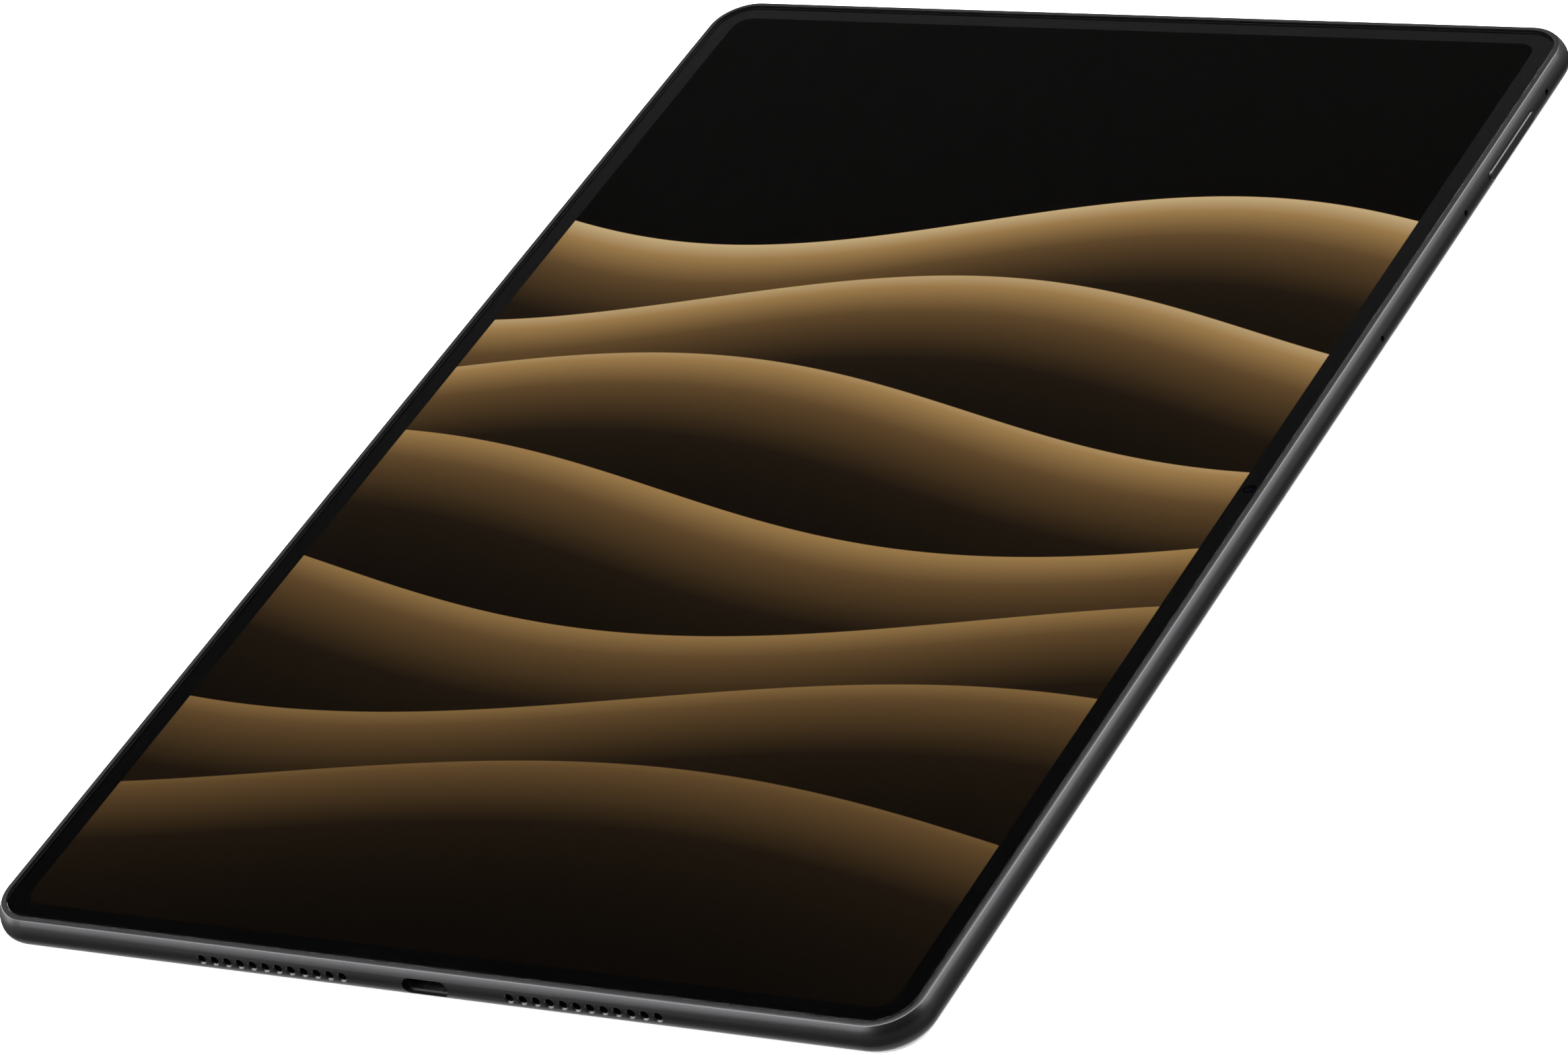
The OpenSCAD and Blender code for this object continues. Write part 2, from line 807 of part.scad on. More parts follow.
// A key: bar through the wall, wider flange behind the shoulder, nubs that press the domes
module key_body(l, gap, nubs) {
    key_bar(l, key_h, -gap, shoulder + key_proud, key_edge_r);
    translate([0, 0, -gap - flange_t]) linear_extrude(flange_t)
        stadium2d(l + 2 * flange_lip, key_h + flange_grow_h);
    for (u = nubs) translate([u, 0, -gap - flange_t - nub_l]) cylinder(d = nub_d, h = nub_l);
}

module volume_rocker() {
    color("dimgray") {
        right_key_place() key_body(rocker_l, flange_gap, [-nub_reach, nub_reach]);
        pin([pivot_x, rocker_y], pivot_d, pivot_foot_z, pivot_top_z);
    }
}

module power_button() {
    color("dimgray") far_key_place() key_body(power_l, rest_gap, [0]);
}

// Dome switch on a small plate, its dome facing local +Z
module dome_switch() {
    linear_extrude(dome_plate_t) square([3.2, 2.4], center = true);
    cylinder(d = 2, h = dome_h);
}

module volume_switches() {
    color("silver") for (s = [-1, 1])
        translate([pocket_x - switch_inset, rocker_y + s * nub_reach, key_z])
            facing_right() dome_switch();
}

module power_switch() {
    color("silver") translate([power_x, pocket_y - switch_inset, key_z]) facing_far() dome_switch();
}

module side_key_flex() {
    outer = switch_inset;
    inner = switch_inset + key_flex_t;
    color("darkorange") translate([0, 0, key_flex_z]) linear_extrude(key_flex_h) intersection() {
        difference() {
            plate2d(pocket_x - outer, pocket_y - outer, pocket_r - outer);
            plate2d(pocket_x - inner, pocket_y - inner, pocket_r - inner);
        }
        translate([58, 42]) square([half_w, half_l]);
    }
}

module key_bracket() {
    color("silver") {
        x1 = pocket_x - bracket_in;
        y1 = pocket_y - bracket_in;
        block(x1 - bracket_t, x1, 89, 116, back_t, bracket_top_z);
        block(x1 - bracket_foot, x1 - bracket_t, 96, 108, back_t, back_t + bracket_t);
        block(59, 73, y1 - bracket_t, y1, back_t, bracket_top_z);
        block(62, 70, y1 - bracket_foot, y1 - bracket_t, back_t, back_t + bracket_t);
    }
}

// ---------- rear camera ----------

module deck_profile() {
    height = deck_proud + back_t;
    square([deck_r - deck_edge_r, height]);
    translate([0, deck_edge_r]) square([deck_r, height - deck_edge_r]);
    translate([deck_r - deck_edge_r, deck_edge_r]) circle(deck_edge_r);
}

module rear_camera_deck() {
    color("dimgray") deck_place() difference() {
        union() {
            translate([0, 0, -deck_proud]) {
                swept(deck_half_w, deck_half_l, deck_r) deck_profile();
                core(deck_half_w, deck_half_l, deck_r, 0, deck_proud + back_t);
            }
            slab(deck_half_w + deck_flange_w, deck_half_l + deck_flange_w, deck_r + deck_flange_w,
                back_t, back_t + deck_flange_t);
        }
        slab(deck_half_w - deck_frame_w, deck_half_l - deck_frame_w, deck_r - deck_frame_w,
            -deck_proud - over, back_t + over);
        slab(deck_half_w - deck_rebate_w, deck_half_l - deck_rebate_w, deck_r - deck_rebate_w,
            -deck_proud - over, deck_glass_z);
    }
}

module rear_camera_glass() {
    inset = deck_rebate_w + deck_gap;
    color("black") deck_place()
        slab(deck_half_w - inset, deck_half_l - inset, deck_r - inset,
            glass_sink - deck_proud, deck_glass_z);
}

module main_camera_can() {
    color("silver") difference() {
        translate([deck_x, main_lens_y, 0])
            slab(lens_can_half, lens_can_half, 0.6, lens_can_foot_z, lens_can_top_z);
        pin([deck_x, main_lens_y], 2 * (barrel_r + barrel_gap), -2 * over, lens_can_top_z + over);
    }
}

// Focusing barrel with a stepped mouth and its front lens set back in it
module main_camera_lens() {
    color("black") difference() {
        pin([deck_x, main_lens_y], 2 * barrel_r, barrel_foot_z, barrel_top_z);
        pin([deck_x, main_lens_y], mouth_d, -over, mouth_z);
        pin([deck_x, main_lens_y], iris_d, -over, iris_z);
    }
}

module main_camera_sensor() {
    color("darkgreen") translate([deck_x, main_lens_y, 0])
        slab(sensor_board_half, sensor_board_half, chip_r, lens_can_top_z, lens_can_top_z + sensor_board_t);
}

module wide_camera_module() {
    color("black") {
        translate([deck_x, wide_lens_y, 0]) slab(wide_half, wide_half, 0.5, wide_foot_z, wide_top_z);
        pin([deck_x, wide_lens_y], wide_lens_d, window_top_z, wide_foot_z);
    }
}

module flash_led() {
    color("khaki") {
        pin([deck_x, flash_y], flash_d, window_top_z, flash_foot_z);
        translate([deck_x, flash_y, 0]) slab(flash_half, flash_half, 0.4, flash_foot_z, 0.4);
    }
}

// ---------- antennas, magnets and screws ----------

module antenna_modules() {
    color("darkslategray") for (p = antenna_at) translate([p[0], p[1], 0]) {
        slab(antenna_half[0], antenna_half[1], 2, back_t, antenna_top_z);
        block(-9, 9, -7, -5, antenna_top_z, antenna_top_z + trace_t);
        block(-9, -7, -5, 7, antenna_top_z, antenna_top_z + trace_t);
        block(-4, 9, 1, 3, antenna_top_z, antenna_top_z + trace_t);
    }
}

module case_magnets() {
    color("silver") for (y = case_magnet_y) block(0.4 - pocket_x, 0.4 - pocket_x + case_magnet_w,
        y - case_magnet_half_l, y + case_magnet_half_l, back_t, case_magnet_top_z);
}

// Cutter of a crosswise driver recess, as length, width and foot height
module cross_slot(l, w, z) {
    for (a = [0, 90]) rotate([0, 0, a]) translate([-l / 2, -w / 2, z]) cube([l, w, 1]);
}

module frame_screws() {
    color("gray") for (p = frame_screw_at) {
        pin(p, screw_d, frame_hole_z + hole_rest, plate_z);
        translate([p[0], p[1], plate_z]) difference() {
            cylinder(d1 = screw_d, d2 = screw_head_d, h = plate_t);
            cross_slot(1.2, 0.24, 0.1);
        }
    }
}

module board_screws() {
    color("gray") for (p = concat(board_screw_at, speaker_screw_at)) {
        pin(p, screw_d, board_hole_z + hole_rest, board_top_z);
        translate([p[0], p[1], board_top_z]) difference() {
            cylinder(d = screw_head_d, h = board_head_h);
            cross_slot(1.4, 0.28, 0.2);
        }
    }
}

rear_housing();
front_gasket();
cover_glass();
bezel_mask();
display_adhesive();
display_panel();
display_back_plate();
display_flex();
mid_plate();
front_camera_can();
front_camera_lens();
sensor_window();
light_sensor();
main_board();
processor_chip();
memory_chip();
storage_chip();
power_chip();
wireless_chip();
board_shields();
thermal_sheet();
battery_cell_lower();
battery_cell_upper();
battery_adhesive();
battery_protection_board();
usb_sub_board();
usb_c_shell();
usb_c_tongue();
usb_c_contacts();
board_link_flex();
at_speaker(1) speaker_box();  // speaker_box_1
at_speaker(2) speaker_box();  // speaker_box_2
at_speaker(3) speaker_box();  // speaker_box_3
at_speaker(4) speaker_box();  // speaker_box_4
speaker_magnets();
at_speaker(1) speaker_diaphragm();  // speaker_diaphragm_1
at_speaker(2) speaker_diaphragm();  // speaker_diaphragm_2
at_speaker(3) speaker_diaphragm();  // speaker_diaphragm_3
at_speaker(4) speaker_diaphragm();  // speaker_diaphragm_4
speaker_mesh();
microphones();
volume_rocker();
volume_switches();
power_button();
power_switch();
side_key_flex();
key_bracket();
rear_camera_deck();
rear_camera_glass();
main_camera_can();
main_camera_lens();
main_camera_sensor();
wide_camera_module();
flash_led();
antenna_modules();
case_magnets();
frame_screws();
board_screws();
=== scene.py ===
"""Looks of the tablet computer: finishes, fine pieces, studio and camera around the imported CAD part.

The tablet lies on its back. Its frame has the origin at the centre of the back face, +Z out of the screen,
+Y to the far short side and +X to the side with the volume rocker. Lengths are metres. Names that end
in _MM and the profiles of the turned pieces are millimetres.
"""

import math

import bmesh
import bpy
from mathutils import Matrix, Vector


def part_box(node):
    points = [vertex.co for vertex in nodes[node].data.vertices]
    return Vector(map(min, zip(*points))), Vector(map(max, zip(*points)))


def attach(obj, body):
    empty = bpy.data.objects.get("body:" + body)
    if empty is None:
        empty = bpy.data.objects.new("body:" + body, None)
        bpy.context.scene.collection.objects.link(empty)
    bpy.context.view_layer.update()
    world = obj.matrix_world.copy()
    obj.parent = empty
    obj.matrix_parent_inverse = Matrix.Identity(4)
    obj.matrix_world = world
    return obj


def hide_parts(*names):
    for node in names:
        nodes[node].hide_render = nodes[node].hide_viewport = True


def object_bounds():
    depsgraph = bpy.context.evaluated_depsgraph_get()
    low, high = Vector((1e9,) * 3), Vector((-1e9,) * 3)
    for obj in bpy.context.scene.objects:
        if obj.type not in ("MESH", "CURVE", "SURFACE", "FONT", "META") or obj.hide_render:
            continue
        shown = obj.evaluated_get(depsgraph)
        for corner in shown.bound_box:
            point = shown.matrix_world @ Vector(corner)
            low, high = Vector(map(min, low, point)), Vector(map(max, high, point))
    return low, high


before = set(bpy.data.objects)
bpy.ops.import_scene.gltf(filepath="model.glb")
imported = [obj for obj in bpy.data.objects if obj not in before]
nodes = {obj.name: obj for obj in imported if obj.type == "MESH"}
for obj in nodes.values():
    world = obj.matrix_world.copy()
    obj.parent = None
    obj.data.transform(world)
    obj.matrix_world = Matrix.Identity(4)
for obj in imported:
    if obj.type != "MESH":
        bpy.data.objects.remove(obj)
cad_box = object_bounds()
scene = bpy.context.scene

MM = 0.001
ROOT = "tablet_body"


def mm(*values):
    """Millimetres to a vector in metres."""
    return Vector(values) * MM


# ---------- camera ----------

CAMERA_PLACE = (0.61914, -0.75010, 0.63535)
CAMERA_AZIMUTH = math.radians(38.93)
CAMERA_ELEVATION = math.radians(33.44)
CAMERA_ROLL = math.radians(-19.638)
CAMERA_LENS_MM = 153.82
CAMERA_SENSOR_MM = 36
CAMERA_SHIFT = (-0.0622, -0.0222)
CAMERA_CLIP = (0.01, 50)


def make_camera():
    """Long-lens camera above the near right corner, rolled to set the tablet across the frame."""
    flat = math.cos(CAMERA_ELEVATION)
    forward = Vector((
        -math.sin(CAMERA_AZIMUTH) * flat,
        math.cos(CAMERA_AZIMUTH) * flat,
        -math.sin(CAMERA_ELEVATION),
    ))
    level_right = Vector((math.cos(CAMERA_AZIMUTH), math.sin(CAMERA_AZIMUTH), 0))
    level_up = level_right.cross(forward)
    right = math.cos(CAMERA_ROLL) * level_right + math.sin(CAMERA_ROLL) * level_up
    up = right.cross(forward)
    data = bpy.data.cameras.new("studio_camera")
    data.lens = CAMERA_LENS_MM
    data.sensor_width = CAMERA_SENSOR_MM
    data.shift_x, data.shift_y = CAMERA_SHIFT
    data.clip_start, data.clip_end = CAMERA_CLIP
    camera = bpy.data.objects.new("studio_camera", data)
    scene.collection.objects.link(camera)
    turn = Matrix((right, up, -forward)).transposed().to_4x4()
    camera.matrix_world = Matrix.Translation(CAMERA_PLACE) @ turn
    scene.camera = camera


# ---------- material tools ----------

# Nearly all values of a noise lie between these two.
NOISE_LOW = 0.3
NOISE_HIGH = 0.7


def srgb(red, green, blue):
    """Linear colour from 0-255 display values."""
    def linear(value):
        value /= 255
        return value / 12.92 if value <= 0.04045 else ((value + 0.055) / 1.055) ** 2.4

    return (linear(red), linear(green), linear(blue), 1)


class Finish:
    """A material under construction: a Principled shader and the nodes that feed it."""

    def __init__(self, name, **values):
        self.material = bpy.data.materials.new(name)
        self.material.use_nodes = True
        self.tree = self.material.node_tree
        self.shader = self.tree.nodes["Principled BSDF"]
        for socket, value in values.items():
            self.shader.inputs[socket.replace("_", " ")].default_value = value

    def add(self, kind, **settings):
        """New shader node of a kind, with its settings."""
        node = self.tree.nodes.new("ShaderNode" + kind)
        for key, value in settings.items():
            setattr(node, key, value)
        return node

    def link(self, source, target):
        """Links an output to an input."""
        self.tree.links.new(source, target)

    def feed(self, source, socket):
        """Links an output to an input of the Principled shader."""
        self.link(source, self.shader.inputs[socket])

    def place(self, stretch=(1, 1, 1)):
        """Object coordinates in metres, scaled by stretch."""
        coordinates = self.add("TexCoord")
        mapping = self.add("Mapping")
        mapping.inputs["Scale"].default_value = stretch
        self.link(coordinates.outputs["Object"], mapping.inputs["Vector"])
        return mapping.outputs["Vector"]

    def noise(self, size_mm, detail=2.0, roughness=0.5, vector=None):
        """Noise whose features are about size_mm across."""
        node = self.add("TexNoise")
        node.inputs["Scale"].default_value = 1 / (size_mm * MM)
        node.inputs["Detail"].default_value = detail
        node.inputs["Roughness"].default_value = roughness
        self.link(vector if vector else self.place(), node.inputs["Vector"])
        return node.outputs["Fac"]

    def ramp(self, source, *stops):
        """Colour ramp from (place, colour) stops."""
        node = self.add("ValToRGB")
        elements = node.color_ramp.elements
        while len(elements) < len(stops):
            elements.new(0.5)
        for element, (place, colour) in zip(elements, stops):
            element.position = place
            element.color = colour
        self.link(source, node.inputs["Fac"])
        return node.outputs["Color"]

    def spread(self, source, low, high):
        """Maps the usual span of a noise to low-high."""
        node = self.add("MapRange")
        node.inputs["From Min"].default_value = NOISE_LOW
        node.inputs["From Max"].default_value = NOISE_HIGH
        node.inputs["To Min"].default_value = low
        node.inputs["To Max"].default_value = high
        self.link(source, node.inputs["Value"])
        return node.outputs["Result"]

    def calculate(self, operation, first, second=0, clamp=False):
        """Math node over numbers or sockets."""
        node = self.add("Math", operation=operation, use_clamp=clamp)
        for socket, value in zip(node.inputs, (first, second)):
            if isinstance(value, (int, float)):
                socket.default_value = value
            else:
                self.link(value, socket)
        return node.outputs["Value"]

    def bump(self, source, height_mm, strength=1.0):
        """Raises the surface where the source is high."""
        node = self.add("Bump")
        node.inputs["Strength"].default_value = strength
        node.inputs["Distance"].default_value = height_mm * MM
        self.link(source, node.inputs["Height"])
        self.feed(node.outputs["Normal"], "Normal")

    def shades(self, source, colour, share):
        """Base colour that varies by share either way with a noise."""
        darker = tuple(part * (1 - share) for part in colour[:3]) + (1,)
        lighter = tuple(min(1, part * (1 + share)) for part in colour[:3]) + (1,)
        self.feed(self.ramp(source, (NOISE_LOW, darker), (NOISE_HIGH, lighter)), "Base Color")


def blasted_metal(name, colour, roughness):
    """Anodised, bead-blasted metal: fine grain in height, gloss and colour."""
    finish = Finish(name, Metallic=1.0)
    grain = finish.noise(size_mm=0.14, detail=3, roughness=0.6)
    finish.shades(grain, colour, share=0.16)
    gloss = finish.spread(finish.noise(size_mm=0.3), low=roughness - 0.015, high=roughness + 0.015)
    finish.feed(gloss, "Roughness")
    finish.bump(grain, height_mm=0.003, strength=0.25)
    return finish.material


def plain_metal(name, colour, roughness, brush=(1, 1, 1)):
    """Sheet metal with a fine drawn grain; brush stretches the grain."""
    finish = Finish(name, Metallic=1.0)
    grain = finish.noise(size_mm=0.6, detail=4, roughness=0.6, vector=finish.place(brush))
    finish.shades(grain, colour, share=0.1)
    finish.feed(finish.spread(grain, low=roughness - 0.05, high=roughness + 0.08), "Roughness")
    finish.bump(grain, height_mm=0.004, strength=0.4)
    return finish.material


def moulded_plastic(name, colour, roughness, grain_mm=0.25, gloss=0.5):
    """Moulded plastic or rubber with a fine spark texture."""
    finish = Finish(name, Specular_IOR_Level=gloss)
    grain = finish.noise(size_mm=grain_mm, detail=3)
    finish.shades(grain, colour, share=0.12)
    finish.feed(finish.spread(grain, low=roughness - 0.05, high=roughness + 0.07), "Roughness")
    finish.bump(grain, height_mm=0.006, strength=0.5)
    return finish.material


def circuit_board(name):
    """Green solder mask with faint copper runs beneath and a glossy, uneven surface."""
    finish = Finish(name, Specular_IOR_Level=0.5, Coat_Weight=0.3, Coat_Roughness=0.15)
    runs = finish.add("TexWave", wave_type="BANDS", bands_direction="DIAGONAL")
    runs.inputs["Scale"].default_value = 500
    runs.inputs["Distortion"].default_value = 8
    runs.inputs["Detail"].default_value = 1
    finish.link(finish.place(), runs.inputs["Vector"])
    colour = finish.ramp(runs.outputs["Fac"], (0.45, srgb(12, 44, 26)), (0.55, srgb(22, 70, 40)))
    finish.feed(colour, "Base Color")
    finish.feed(finish.spread(finish.noise(size_mm=2), low=0.3, high=0.45), "Roughness")
    finish.bump(runs.outputs["Fac"], height_mm=0.01, strength=0.4)
    return finish.material


def chip_package(name):
    """Matt moulded chip package with a speckled top."""
    finish = Finish(name, Specular_IOR_Level=0.4)
    speckle = finish.noise(size_mm=0.2, detail=4, roughness=0.7)
    finish.shades(speckle, srgb(30, 30, 32), share=0.3)
    finish.feed(finish.spread(speckle, low=0.45, high=0.6), "Roughness")
    finish.bump(speckle, height_mm=0.008, strength=0.5)
    return finish.material


def foil(name, colour):
    """Soft crinkled foil pouch."""
    finish = Finish(name, Metallic=0.85)
    creases = finish.noise(size_mm=6, detail=5, roughness=0.6)
    finish.shades(creases, colour, share=0.12)
    finish.feed(finish.spread(creases, low=0.28, high=0.42), "Roughness")
    finish.bump(creases, height_mm=0.15, strength=0.5)
    return finish.material


def flexible_circuit(name):
    """Amber polyimide film with darker conductor runs."""
    finish = Finish(name, Specular_IOR_Level=0.5)
    runs = finish.add("TexWave", wave_type="BANDS", bands_direction="X")
    runs.inputs["Scale"].default_value = 900
    finish.link(finish.place(), runs.inputs["Vector"])
    colour = finish.ramp(runs.outputs["Fac"], (0.4, srgb(120, 62, 16)), (0.6, srgb(186, 104, 30)))
    finish.feed(colour, "Base Color")
    finish.feed(finish.spread(finish.noise(size_mm=1.5), low=0.3, high=0.45), "Roughness")
    return finish.material


def woven_mesh(name):
    """Fine woven steel cloth behind the speaker holes."""
    finish = Finish(name, Metallic=1.0)
    weave = finish.add("TexVoronoi", feature="F1")
    weave.inputs["Scale"].default_value = 8000
    finish.link(finish.place(), weave.inputs["Vector"])
    colour = finish.ramp(weave.outputs["Distance"], (0.1, srgb(34, 34, 36)), (0.6, srgb(4, 4, 4)))
    finish.feed(colour, "Base Color")
    finish.feed(finish.spread(finish.noise(size_mm=0.4), low=0.45, high=0.6), "Roughness")
    finish.bump(weave.outputs["Distance"], height_mm=0.03, strength=0.8)
    return finish.material


def clear_glass(name):
    """Cover glass with an anti-reflection coating.

    The low refraction index stands for the coating, and the roughness keeps render noise off the edge.
    """
    return Finish(name, Transmission_Weight=1.0, Roughness=0.1, IOR=1.12).material


def printed_ink(name):
    """Glossy black ink seen through the cover glass."""
    finish = Finish(name, Specular_IOR_Level=1.0, Coat_Weight=1.0, Coat_Roughness=0.03)
    finish.shades(finish.noise(size_mm=3, detail=3), srgb(5, 5, 5), share=0.3)
    finish.feed(finish.spread(finish.noise(size_mm=8), low=0.05, high=0.07), "Roughness")
    return finish.material


def coated_lens(name, colour, gloss=1.0):
    """Dark multi-coated lens glass: deep tint, with the coating's coloured glint painted into the base
    colour by viewing angle.
    """
    finish = Finish(name, Specular_IOR_Level=gloss, Coat_Weight=gloss, Coat_Roughness=0.02)
    layer = finish.add("LayerWeight")
    layer.inputs["Blend"].default_value = 0.45
    # Painted reflection: the base colour follows the viewing angle, dark face-on and turning to the glint
    # colour towards the rim.
    painted_glint = finish.ramp(
        layer.outputs["Facing"],
        (0.0, srgb(4, 5, 9)), (0.6, colour), (1.0, srgb(12, 10, 26)),
    )
    finish.feed(painted_glint, "Base Color")
    finish.feed(finish.spread(finish.noise(size_mm=1.2), low=0.04, high=0.07), "Roughness")
    return finish.material


def phosphor(name):
    """Yellow flash phosphor under a rippled lens."""
    finish = Finish(name, Specular_IOR_Level=0.6, Coat_Weight=0.6)
    grains = finish.noise(size_mm=0.3, detail=3)
    finish.shades(grains, srgb(226, 204, 120), share=0.12)
    finish.feed(finish.spread(grains, low=0.25, high=0.4), "Roughness")
    finish.bump(grains, height_mm=0.02, strength=0.5)
    return finish.material


# ---------- finishes of the CAD nodes ----------

WALL_GREY = srgb(62, 62, 63)

SLOT_FINISH = {
    "anodised_aluminium": blasted_metal("space_grey_anodised", WALL_GREY, roughness=0.36),
    "black_gasket": moulded_plastic(
        "black_gasket", srgb(17, 17, 17), roughness=0.55, grain_mm=0.2, gloss=0.15,
    ),
    "cover_glass": clear_glass("coated_cover_glass"),
    "black_ink": printed_ink("border_ink"),
    "adhesive": moulded_plastic("adhesive_foam", srgb(22, 22, 24), roughness=0.8, grain_mm=0.4),
    "steel_sheet": plain_metal("steel_sheet", srgb(178, 178, 176), roughness=0.3, brush=(1, 0.05, 1)),
    "orange_flex": flexible_circuit("orange_flex"),
    "magnesium_plate": plain_metal("magnesium_plate", srgb(150, 152, 156), roughness=0.45),
    "dark_module": moulded_plastic("module_body", srgb(26, 27, 30), roughness=0.45),
    "lens_glass": coated_lens("lens_coating", srgb(8, 14, 40)),
    "sensor_filter": coated_lens("sensor_filter", srgb(6, 4, 8)),
    "green_board": circuit_board("circuit_board"),
    "chip_black": chip_package("chip_package"),
    "graphite": moulded_plastic("graphite_sheet", srgb(48, 49, 52), roughness=0.5, grain_mm=0.8),
    "battery_pouch": foil("battery_foil", srgb(150, 152, 156)),
    "port_steel": plain_metal("port_steel", srgb(120, 120, 122), roughness=0.3, brush=(1, 0.1, 1)),
    "black_plastic": moulded_plastic("black_plastic", srgb(16, 16, 17), roughness=0.5),
    "gold_contacts": plain_metal("gold_plating", srgb(236, 190, 110), roughness=0.22),
    "magnet_steel": plain_metal("nickel_plating", srgb(190, 188, 182), roughness=0.18),
    "diaphragm_film": moulded_plastic("diaphragm_film", srgb(40, 41, 46), roughness=0.35),
    "mesh_steel": woven_mesh("speaker_cloth"),
    "camera_glass": clear_glass("camera_cover"),
    "flash_phosphor": phosphor("flash_phosphor"),
    "screw_steel": plain_metal("screw_steel", srgb(160, 160, 160), roughness=0.3),
}


def finish_cad_nodes():
    """Gives each CAD node the finish of the material slot that the record names for it."""
    for node in nodes.values():
        for place in node.material_slots:
            slot_name = place.material.name.split(".")[0]
            place.material = SLOT_FINISH.get(slot_name, place.material)


# ---------- stage ----------

# The tablet rests on the near edge of its back and, further off, on the foot of the camera deck.
DECK_DEPTH = -cad_box[0].z
DECK_FOOT = 0.0016
NEAR_REST_Y = -0.1288
DECK_REST_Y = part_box("rear_camera_deck")[0].y + DECK_FOOT
FLOOR_SLOPE = DECK_DEPTH / (DECK_REST_Y - NEAR_REST_Y)
FLOOR_GAP = 0.00003
FLOOR_HALF = 6
FLOOR_GLOW = 0.45
FLOOR_PAINT = (0.86, 0.86, 0.86, 1)


def floor_finish():
    """Matt white paint that glows a little."""
    finish = Finish("studio_floor", Specular_IOR_Level=0.2)
    finish.shades(finish.noise(size_mm=40, detail=2), FLOOR_PAINT, share=0.004)
    finish.feed(finish.spread(finish.noise(size_mm=15), low=0.6, high=0.7), "Roughness")
    finish.shader.inputs["Emission Color"].default_value = (1, 1, 1, 1)
    finish.shader.inputs["Emission Strength"].default_value = FLOOR_GLOW
    return finish.material


def make_floor():
    """Pale floor that touches the near edge of the back and the camera deck."""
    sides = ((-1, -1), (1, -1), (1, 1), (-1, 1))
    corners = [(FLOOR_HALF * side_x, FLOOR_HALF * side_y) for side_x, side_y in sides]
    places = [(x, y, -FLOOR_GAP - FLOOR_SLOPE * (y - NEAR_REST_Y)) for x, y in corners]
    mesh = bpy.data.meshes.new("studio_floor")
    mesh.from_pydata(places, [], [(0, 1, 2, 3)])
    mesh.materials.append(floor_finish())
    floor = bpy.data.objects.new("studio_floor", mesh)
    scene.collection.objects.link(floor)
    floor.visible_glossy = False


def make_light(name, place, target, size, power):
    """Soft box that pieces under glass don't mirror, so the border ink stays black."""
    data = bpy.data.lights.new(name, "AREA")
    data.shape = "RECTANGLE"
    data.size, data.size_y = size
    data.energy = power
    light = bpy.data.objects.new(name, data)
    scene.collection.objects.link(light)
    aim = (Vector(target) - Vector(place)).to_track_quat("-Z", "Y")
    light.matrix_world = Matrix.Translation(place) @ aim.to_matrix().to_4x4()
    light.visible_transmission = False


# Stops are (place, grey); places 0 to 1 stand for -1 to 1 along the sky's axis or its height.
SKY_AXIS = (0.053, -0.615, 0.787)
SKY_STOPS = ((0.25, 0.03), (0.42, 0.2), (0.47, 0.085), (0.5, 0.026), (0.54, 0.002))
HAZE_STOPS = ((0.27, 0.0), (0.36, 0.25), (0.46, 0.55), (0.56, 0.0))
BOUNCE_TOP = -0.45
BOUNCE_FULL = -0.85
BOUNCE_GLOW = 1.1


def make_sky():
    """Dark air with light at the far horizon, haze just below it and the floor's bounce underneath."""
    world = bpy.data.worlds.new("studio_sky")
    scene.world = world
    world.use_nodes = True
    tree = world.node_tree

    def node(kind, **settings):
        made = tree.nodes.new("ShaderNode" + kind)
        for key, value in settings.items():
            setattr(made, key, value)
        return made

    def grey_ramp(source, stops):
        """Grey ramp over a source that runs from -1 to 1."""
        shift = node("MapRange")
        shift.inputs["From Min"].default_value = -1
        tree.links.new(source, shift.inputs["Value"])
        ramp = node("ValToRGB")
        elements = ramp.color_ramp.elements
        while len(elements) < len(stops):
            elements.new(0.5)
        for element, (place, grey) in zip(elements, stops):
            element.position = place
            element.color = (grey, grey, grey, 1)
        tree.links.new(shift.outputs["Result"], ramp.inputs["Fac"])
        return ramp.outputs["Color"]

    def total(first, second):
        adder = node("Math", operation="ADD")
        tree.links.new(first, adder.inputs[0])
        tree.links.new(second, adder.inputs[1])
        return adder.outputs["Value"]

    direction = node("TexCoord").outputs["Generated"]
    tilt = node("VectorMath", operation="DOT_PRODUCT")
    tilt.inputs[1].default_value = SKY_AXIS
    tree.links.new(direction, tilt.inputs[0])
    split = node("SeparateXYZ")
    tree.links.new(direction, split.inputs["Vector"])
    height = split.outputs["Z"]
    bounce = node("MapRange", interpolation_type="SMOOTHSTEP")
    bounce.inputs["From Min"].default_value = BOUNCE_TOP
    bounce.inputs["From Max"].default_value = BOUNCE_FULL
    bounce.inputs["To Max"].default_value = BOUNCE_GLOW
    tree.links.new(height, bounce.inputs["Value"])
    air = total(grey_ramp(tilt.outputs["Value"], SKY_STOPS), grey_ramp(height, HAZE_STOPS))
    tree.links.new(total(air, bounce.outputs["Result"]), tree.nodes["Background"].inputs["Color"])


# Each soft box has a name, a place, the point it faces, a size and a power in watts.
SOFT_BOXES = (
    ("overhead_softbox", (0, 0.1, 1.7), (0, 0, 0), (2.2, 2.2), 95),
    ("near_softbox", (-0.72, -1.1, 1.0), (0, -0.13, 0), (1.1, 1.2), 40),
    ("right_softbox", (0.92, 0.9, 0.78), (0.09, 0, 0), (1.2, 0.9), 38),
    ("left_softbox", (-1.4, -0.2, 0.35), (-0.09, 0, 0), (1.2, 0.6), 22),
)


def make_studio():
    """Soft boxes and sky: one box overhead for the floor, three low ones that draw bands on the walls."""
    for name, place, target, size, power in SOFT_BOXES:
        make_light(name, place, target, size, power)
    make_sky()
    scene.view_settings.view_transform = "Standard"


# ---------- piece tools ----------


